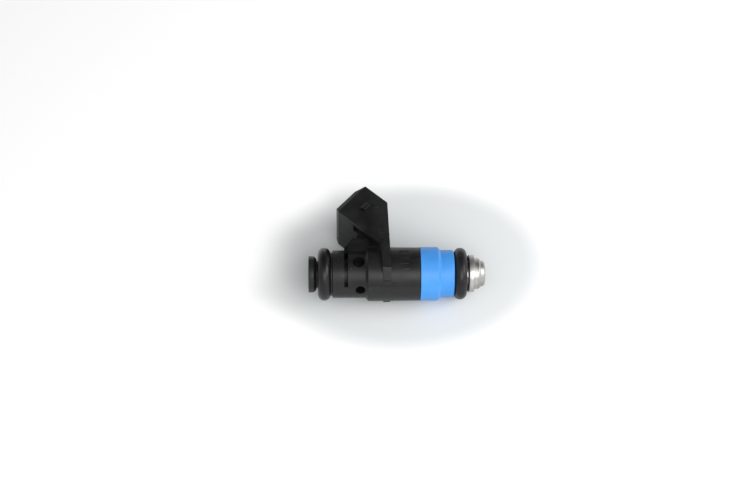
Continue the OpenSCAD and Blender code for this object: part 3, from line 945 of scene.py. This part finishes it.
start, step = x0 - CAP_OVERLAP, x0 + CAP_FLANGE - CAP_OVERLAP / 2
cap = turn("nozzle", [
    # the flange
    (start, CAP_BORE), (start, r), (step, r),
    # the drum
    (step, 4.38), (x0 + 2.35, 4.30), (x0 + 2.80, 3.95),
    # the snout
    (x0 + 2.80, 3.68), (x1 - 0.75, 3.55), (x1 - 0.30, 3.35), (x1 - 0.06, 3.0), (x1, 2.75),
    # the outlet and the bore
    (x1, 1.9), (x1 - 0.6, 1.9), (CAP_INSIDE[2], 2.3), (CAP_INSIDE[2], TIP_BORE),
    (CAP_INSIDE[1], TIP_BORE), (CAP_INSIDE[0], CAP_BORE)])
round_edges(cap, CAP_ROUND, steeper_than=25)
finish_piece(cap, "nozzle_steel", BODY, ["nozzle_cap"])

# %% [markdown]
# ## Contact blades
#
# Each blade is stamped from tinned strip: a wide tab with a pointed end in the
# socket, and a narrow stem that goes down to the coil. Tab and stem are two
# plates that are joined, and the tip is coined by a bevel. The same shape, grown
# by a clearance, later cuts the slots in the moulding.

# %% The connector's own frame
MATE = math.radians(42)
N_LOW, N_MID, N_HIGH = 14.1, 19.8, 25.5
M_MOUTH, M_FLOOR, M_BACK = 8.6, 1.2, 0.0


def place(n, m):
    """A point of the XY plane from n, square to mating, and m, along it."""
    return (n * math.sin(MATE) - m * math.cos(MATE), n * math.cos(MATE) + m * math.sin(MATE))


def reach(point):
    """The n and m of a point."""
    return (point[0] * math.sin(MATE) + point[1] * math.cos(MATE),
            point[1] * math.sin(MATE) - point[0] * math.cos(MATE))


print("the mouth's middle is at (%.2f, %.2f) mm" % place(N_MID, M_MOUTH))

# %% Blades
BLADE_X = (12.1, 13.7)
BLADE_FOOT = 5.93
BLADE_TIP_M = 7.2
TAB_HALF = 1.4
TAB_POINT = (0.6, 1.1)
TAB_BACK = -0.2
STEM_TOP = (15.2, 13.9)
BLADE_CLEAR = 0.03
TIP_BEVEL = 0.12


def blade_shape(name, low, high, grow=0.0):
    """A blade between two heights, grown all round by a clearance."""
    half = TAB_HALF + grow
    stem = plate(name + "_stem", [
        (BLADE_X[0] - grow, BLADE_FOOT - grow), (BLADE_X[1] + grow, BLADE_FOOT - grow),
        (BLADE_X[1] + grow, STEM_TOP[0]), (BLADE_X[0] - grow, STEM_TOP[1])],
        low - grow, high + grow)
    tab = plate(name, [
        place(N_MID - half, TAB_BACK), place(N_MID + half, TAB_BACK),
        place(N_MID + half, BLADE_TIP_M - TAB_POINT[1]),
        place(N_MID + TAB_POINT[0], BLADE_TIP_M), place(N_MID - TAB_POINT[0], BLADE_TIP_M),
        place(N_MID - half, BLADE_TIP_M - TAB_POINT[1])], low - grow, high + grow)
    combine(tab, stem, "UNION")
    return tab


blade_slots = []
for node in ("blade_left", "blade_right"):
    (_, _, z0), (_, _, z1) = measure(node)
    blade_slots.append(blade_shape(node + "_slot", z0, z1, grow=BLADE_CLEAR))
    blade = blade_shape(node + "_tab", z0, z1)
    bevel_where(
        blade, lambda p: reach(p)[1] > BLADE_TIP_M - TAB_POINT[1] - 0.3,
        TIP_BEVEL, segments=2)
    finish_piece(blade, "tinned_blade", BODY, [node])

# %% [markdown]
# ## The moulding
#
# The black moulding is the piece that gives the injector its look. It is built
# as the tool makes it: a round body, two cheeks with legs, and a shroud between
# them, on a low block and a web. The round body is turned first. Its shoulder
# rises in a few short steps, as the real one is blended there.

# %% Round body
BODY_START, BODY_END = -2.17, 26.75
UPPER_R, COIL_R, DRAFT = 6.65, 7.5, 0.1
SLEEVE_R = 3.82
CORE_R = 1.0
ROUND_SEGMENTS = 144

moulding = turn("moulding", [
    (BODY_START, CORE_R), (BODY_START, SLEEVE_R), (2.25, SLEEVE_R),
    (2.25, UPPER_R - 0.25), (2.33, UPPER_R - 0.08), (2.5, UPPER_R),
    (11.4, UPPER_R), (11.62, UPPER_R + 0.16), (11.85, UPPER_R + 0.42), (12.0, UPPER_R + 0.64),
    (12.12, COIL_R - 0.08), (12.3, COIL_R), (BODY_END - 0.1, COIL_R - DRAFT),
    (BODY_END, COIL_R - DRAFT - 0.1), (BODY_END, CORE_R)], segments=ROUND_SEGMENTS)
print("round body: %d faces" % len(moulding.data.polygons))

# %% [markdown]
# The tool opens along a line low on the coil, and the lower half stands a few
# hundredths proud there. That step is a second, slightly larger drum, kept only
# below the line.

# %% Parting step
PARTING_DROP, PARTING_STEP = -6.4, 0.08

strip = turn("strip", [
    (12.3, 5.0), (12.3, COIL_R + PARTING_STEP),
    (BODY_END - 0.1, COIL_R - DRAFT + PARTING_STEP), (BODY_END - 0.1, 5.0)],
    segments=ROUND_SEGMENTS)
saw(strip, (0, PARTING_DROP, 0), (0, 1, 0))
combine(moulding, strip, "UNION")
print("parting step at %.1f mm" % PARTING_DROP)

# %% [markdown]
# A cheek is a flat wall on each side of the shroud, with a leg that straddles the
# body. It is a plate that is joined to the leg's foot and sawn to a taper at the
# mouth and at the foot. The long lower ridge has a flat bevel, and the other
# outer edges have a small radius. One cheek is made and mirrored.

# %% Cheeks and legs
HALF_W, CHEEK_IN = 8.6, 7.4
LEG_LOW, LEG_TOP = -5.7, 4.8
LEG_FRONT, LEG_BACK = (16.34, 15.7), 18.62
LIP_LENGTH, LIP_DEPTH = 1.3, 0.65
TAPER_START, TAPER_TIP = -3.0, 7.1
RIDGE_BEVEL = 0.7
RIDGE_END_M = 6.5
EDGE_ROUND = 0.13
MOUTH_CUT = (22.6, 7.2)
CHEEK_BACK_M = -1
FOOT_IN = 4.8
OVERLAP = 0.1  # how far joined plates run into each other

mouth_corners = [
    place(N_LOW, M_MOUTH - LIP_LENGTH), place(N_LOW + LIP_DEPTH, M_MOUTH),
    place(MOUTH_CUT[0], M_MOUTH), place(N_HIGH, MOUTH_CUT[1])]


def on_ridge(p):
    """The long lower edge of the cheek."""
    n, m = reach(p)
    return p.z > HALF_W - 0.5 and abs(n - N_LOW) < 0.05 and m < RIDGE_END_M


def on_outside(p):
    """The cheek's outer edges, and those of its foot."""
    on_cheek = p.z > HALF_W - RIDGE_BEVEL - 0.05 and reach(p)[1] < M_MOUTH - 0.1
    return on_cheek or (p.y < LEG_TOP and p.z > TAPER_TIP - 0.1)


def make_cheek():
    """The cheek on the +Z side."""
    cheek = plate("cheek", mouth_corners + [
        place(N_HIGH, CHEEK_BACK_M), (LEG_BACK, LEG_LOW), (LEG_FRONT[0], LEG_LOW),
        (LEG_FRONT[1], LEG_TOP)], CHEEK_IN, HALF_W)
    leg = plate("leg", [
        (LEG_BACK - 0.6, LEG_TOP - 0.3), (LEG_BACK - 0.15, LEG_LOW + 0.15),
        (LEG_FRONT[0] + 0.15, LEG_LOW + 0.15), (LEG_FRONT[1] + 0.3, LEG_TOP - 0.3)],
        FOOT_IN, CHEEK_IN + OVERLAP)
    combine(cheek, leg, "UNION")
    saw(cheek, (0, TAPER_START, HALF_W), (0, TAPER_TIP - HALF_W, TAPER_START - LEG_LOW))
    lip = (*place(0, M_MOUTH - LIP_LENGTH + 0.02), HALF_W)
    out = place(0, 1)
    saw(cheek, lip, (out[0] * LIP_DEPTH, out[1] * LIP_DEPTH, LIP_LENGTH))
    bevel_where(cheek, on_ridge, RIDGE_BEVEL, segments=1)
    bevel_where(cheek, on_outside, EDGE_ROUND)
    return cheek


cheek = make_cheek()
combine(moulding, mirrored(cheek), "UNION")
combine(moulding, cheek, "UNION")
print("moulding with its cheeks: %d faces" % len(moulding.data.polygons))

# %% [markdown]
# The shroud is the box between the cheeks. Behind it are a sloping web, which
# carries the blades up from the coil, and a low block with a narrow core beside
# the slot for the retaining clip. Their long edges are rounded before they are
# joined, where each edge is still a single line.

# %% Shroud, web and low block
BLOCK_HALF, CORE_HALF, WEB_HALF = 5.1, 4.0, 4.6
SLOT_X = (5.57, 6.64)
ROOF_BACK = -0.8
WALL = 1.4

shroud = plate("shroud", mouth_corners + [
    place(N_HIGH, ROOF_BACK), place(N_HIGH - WALL, ROOF_BACK),
    place(N_HIGH - WALL, M_BACK), place(N_LOW, M_BACK)],
    -CHEEK_IN - OVERLAP, CHEEK_IN + OVERLAP)
combine(moulding, shroud, "UNION")

solids = [
    # name, half width, radius, where the rounding starts in Y, outline
    ("web_top", WEB_HALF, 0.2, 0, [
        (8.8, 8), (8.8, 9), place(15.1, 0.4), place(25, 0.4), place(25, -1), (16.9, 14)]),
    ("web_foot", WEB_HALF, 0.2, 0, [(8.8, 6), (8.8, 9), (16.9, 14), (16.9, 6)]),
    ("block", BLOCK_HALF, 0.22, 6.9, [
        (SLOT_X[1], 2), (SLOT_X[1], 7.3), (7.9, 8.7), (12.5, 8.7), (12.5, 2)]),
    ("core", CORE_HALF, 0.1, 5.5, [
        (SLOT_X[0], 2), (SLOT_X[0], 6.3), (6.74, 7.4), (6.74, 2)]),
]
for name, half, radius, above, outline in solids:
    solid = plate(name, outline, -half, half)
    bevel_where(solid, lambda p: abs(p.z) > half - 0.01 and p.y > above, radius)
    combine(moulding, solid, "UNION")
print("moulding with shroud and web: %d faces" % len(moulding.data.polygons))

# %% [markdown]
# A ramp on each cheek holds the latch of the plug. It rises towards the body, so
# the plug's latch slides over it and snaps behind. It is a small block with one
# sloping side.

# %% Latch ramps
LUG_N, LUG_M, LUG_SIZE, LUG_HIGH = 20.3, 3.0, 2.6, 1.1
LUG_TOP = 0.8  # the length of its flat top
LUG_END = 0.3  # the height at the low end
LUG_ROUND = 0.12

half = LUG_SIZE / 2
lug = plate("lug", [
    place(LUG_N - half, LUG_M - half), place(LUG_N + half, LUG_M - half),
    place(LUG_N + half, LUG_M + half), place(LUG_N - half, LUG_M + half)],
    HALF_W - OVERLAP, HALF_W + LUG_HIGH)
out = place(0, 1)
fall, run = LUG_HIGH - LUG_END, LUG_SIZE - LUG_TOP
saw(lug, (*place(LUG_N, LUG_M - half + LUG_TOP), HALF_W + LUG_HIGH),
    (out[0] * fall, out[1] * fall, run))
bevel_where(lug, lambda p: p.z > HALF_W + 0.05, LUG_ROUND)
combine(moulding, mirrored(lug), "UNION")
combine(moulding, lug, "UNION")
print("latch ramps stand %.1f mm proud" % LUG_HIGH)

# %% [markdown]
# Small raised bars stand where a maker moulds its marks: a column on the coil, a
# short one below it and a few on each visible cheek. They say nothing, and only
# give the surface its scale. Their edges are rounded, so that each catches a line
# of light.

# %% Plain raised bars
MARK_HIGH = 0.2
MARK_ROUND = 0.13
MARK_DEEP = 0.2
COIL_MARKS = [(20.9, 23.5, angle, 0.55) for angle in (62, 74, 86, 98, 110)]
COIL_MARKS.append((18.9, 21.2, 144, 0.5))
CHEEK_MARKS = ((6.6, 16.5), (7.3, 16.5), (8.0, 16.5), (8.8, 15.9), (9.5, 15.7))
CHEEK_MARK_X, CHEEK_MARK_WIDE = 14.9, 0.36


def coil_mark(x0, x1, angle, width):
    """A bar along the body, at an angle round it."""
    clear_bench()
    turned_by = math.radians(angle)
    r = COIL_R - DRAFT / 2 + MARK_HIGH / 2 - MARK_HIGH
    bpy.ops.mesh.primitive_cube_add(
        size=1, scale=(x1 - x0, width, MARK_HIGH * 3),
        location=((x0 + x1) / 2, r * math.cos(turned_by), r * math.sin(turned_by)),
        rotation=(turned_by - math.pi / 2, 0, 0))
    bar = bpy.context.object
    bpy.ops.object.transform_apply(location=True, rotation=True, scale=True)
    return bar


def cheek_mark(y, end):
    """A bar across the cheek."""
    return plate("mark", [
        (CHEEK_MARK_X, y), (end, y), (end, y + CHEEK_MARK_WIDE),
        (CHEEK_MARK_X, y + CHEEK_MARK_WIDE)], HALF_W - MARK_DEEP, HALF_W + MARK_HIGH)


marks = [coil_mark(*numbers) for numbers in COIL_MARKS]
marks += [cheek_mark(*numbers) for numbers in CHEEK_MARKS]
for mark in marks:
    round_edges(mark, MARK_ROUND, segments=2)
    combine(moulding, mark, "UNION")
print("moulding with its bars: %d faces" % len(moulding.data.polygons))

# %% [markdown]
# Now everything hollow is cut: the socket, the steps behind its lower wall, the
# slot for the clip, the pockets that the mould's pins leave, the bores for the
# fuel tube and the coil, and the slots for the blades.

# %% Cutting the hollows
SOCKET_ROUND = 0.5
STEP_DEEP = 0.9
POCKET_FLOOR_R, POCKET_DEEP = 3.3, 6.0
POCKETS = ((9.55, 1.7, 90), (9.55, 1.7, -90), (10.05, 1.4, 164))
BORES = (
    (-3.0, 0.6), (-3.0, 3.03), (12.0, 3.03), (12.0, 3.42), (12.47, 3.42), (12.47, 6.63),
    (26.33, 6.63), (26.33, 5.24), (27.5, 5.24), (27.5, 0.6))



def on_socket_corner(p):
    """The four long corners of the socket."""
    return abs(p.z) > CHEEK_IN - 0.01 and M_FLOOR + 1 < reach(p)[1] < M_MOUTH + 2


socket = plate("socket", [
    place(N_LOW + WALL, M_FLOOR), place(N_HIGH - WALL, M_FLOOR),
    place(N_HIGH - WALL, M_MOUTH + 3), place(N_LOW + WALL, M_MOUTH + 3)],
    -CHEEK_IN, CHEEK_IN)
bevel_where(socket, on_socket_corner, SOCKET_ROUND, segments=4)
combine(moulding, socket, "DIFFERENCE")
for low, high in ((-CHEEK_IN, -WEB_HALF), (WEB_HALF, CHEEK_IN)):
    step_cut = plate("step", [
        place(N_LOW - 1, M_BACK - 1), place(N_LOW + STEP_DEEP, M_BACK - 1),
        place(N_LOW + STEP_DEEP, M_FLOOR + 0.5), place(N_LOW - 1, M_FLOOR + 0.5)],
        low, high)
    combine(moulding, step_cut, "DIFFERENCE")
for x, radius, angle in POCKETS:
    pocket = drum("pocket", radius, POCKET_DEEP, POCKET_FLOOR_R, angle, x)
    combine(moulding, pocket, "DIFFERENCE")
combine(moulding, turn("bore", list(BORES), segments=120), "DIFFERENCE")
for blade_slot in blade_slots:
    combine(moulding, blade_slot, "DIFFERENCE")
print("moulding with its hollows: %d faces" % len(moulding.data.polygons))

# %% [markdown]
# The clip that holds the injector to the rail slides into a slot from below. A
# ring is cut away on each side of a web in the middle, and the slot runs on
# upwards beside the narrow core.

# %% Clip slot
SLOT_FLOOR_R, SLOT_WEB, SLOT_LOW, SLOT_HIGH = 4.9, 2.2, -6.0, 4.1
CLEAR_OF = 9  # a distance from the axis that is outside the round body

for side in (1, -1):
    slot_cut = turn("slot", [
        (SLOT_X[0], SLOT_FLOOR_R), (SLOT_X[0], CLEAR_OF), (SLOT_X[1], CLEAR_OF),
        (SLOT_X[1], SLOT_FLOOR_R)], segments=96)
    saw(slot_cut, (0, 0, side * SLOT_WEB), (0, 0, -side))
    saw(slot_cut, (0, SLOT_LOW, 0), (0, -1, 0))
    saw(slot_cut, (0, SLOT_HIGH + 0.1, 0), (0, 1, 0))
    combine(moulding, slot_cut, "DIFFERENCE")
    low, high = sorted((side * CORE_HALF, side * CLEAR_OF))
    upper = plate("slot_top", [
        (SLOT_X[0], SLOT_HIGH), (SLOT_X[1], SLOT_HIGH), (SLOT_X[1], CLEAR_OF),
        (SLOT_X[0], CLEAR_OF)], low, high)
    combine(moulding, upper, "DIFFERENCE")
print("clip slot is %.2f mm wide" % (SLOT_X[1] - SLOT_X[0]))

# %% [markdown]
# The mouth's own edges exist only now that the socket is cut, so they are
# rounded last. The flat faces that the cuts left in pieces are first made whole,
# which also takes away stray points along the straight edges.

# %% Rounding the mouth
SLIVER = 0.001
NEARLY_FLAT = math.radians(0.2)
MOUTH_ROUND = 0.14

edit_all(
    moulding, (bpy.ops.mesh.remove_doubles, {"threshold": SLIVER}),
    (bpy.ops.mesh.dissolve_limited, {"angle_limit": NEARLY_FLAT}))
bevel_where(moulding, lambda p: abs(reach(p)[1] - M_MOUTH) < 0.02 and p.y > 10, MOUTH_ROUND)
print("mouth rounded to %.2f mm" % MOUTH_ROUND)

# %% Finishing the moulding
finish_piece(moulding, "black_moulding", BODY, ["overmould_body"])

# %% [markdown]
# ## Return spring
#
# The spring is the one imported shape that changes when the injector works: the
# armature presses it together by the lift of the needle. Its coil is already
# right, so a copy of its mesh is merged into one closed skin, which is finished
# and put on the body in place of the imported spring.

# %% Spring copied and merged
SKIN_MERGE = 0.001

spring = bpy.data.objects.new("closing_spring", nodes["return_spring"].data.copy())
bpy.context.scene.collection.objects.link(spring)
edit_all(spring, (bpy.ops.mesh.remove_doubles, {"threshold": SKIN_MERGE * MM}))
bpy.ops.object.shade_smooth_by_angle(angle=SHARP)
spring.data.materials.clear()
spring.data.materials.append(finishes["spring_steel"])
fixed_end, moving_end, _ = span("return_spring")
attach(spring, BODY)
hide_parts("return_spring")
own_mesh(spring)
print("spring of %.2f mm, %d open edges" % (moving_end - fixed_end, open_edges(spring)))

# %% [markdown]
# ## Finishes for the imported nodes
#
# The nodes that stay keep their shape, and each gets the finish that its slot in
# the record names. Most of them sit inside, and show only where the injector is
# seen from an end.

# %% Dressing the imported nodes
replaced = {"overmould_body", "inlet_flange_ring", "rail_o_ring", "rail_backup_washer",
            "manifold_o_ring", "manifold_washer", "spacer_ring", "nozzle_cap",
            "blade_left", "blade_right", "return_spring"}
for name in sorted(set(nodes) - replaced):
    for material_slot in nodes[name].material_slots:
        label = material_slot.material.name.split(".")[0]
        material_slot.material = finishes[label]
print("dressed %d packed nodes" % (len(nodes) - len(replaced)))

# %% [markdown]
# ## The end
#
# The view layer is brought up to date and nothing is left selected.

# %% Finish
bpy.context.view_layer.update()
clear_bench()
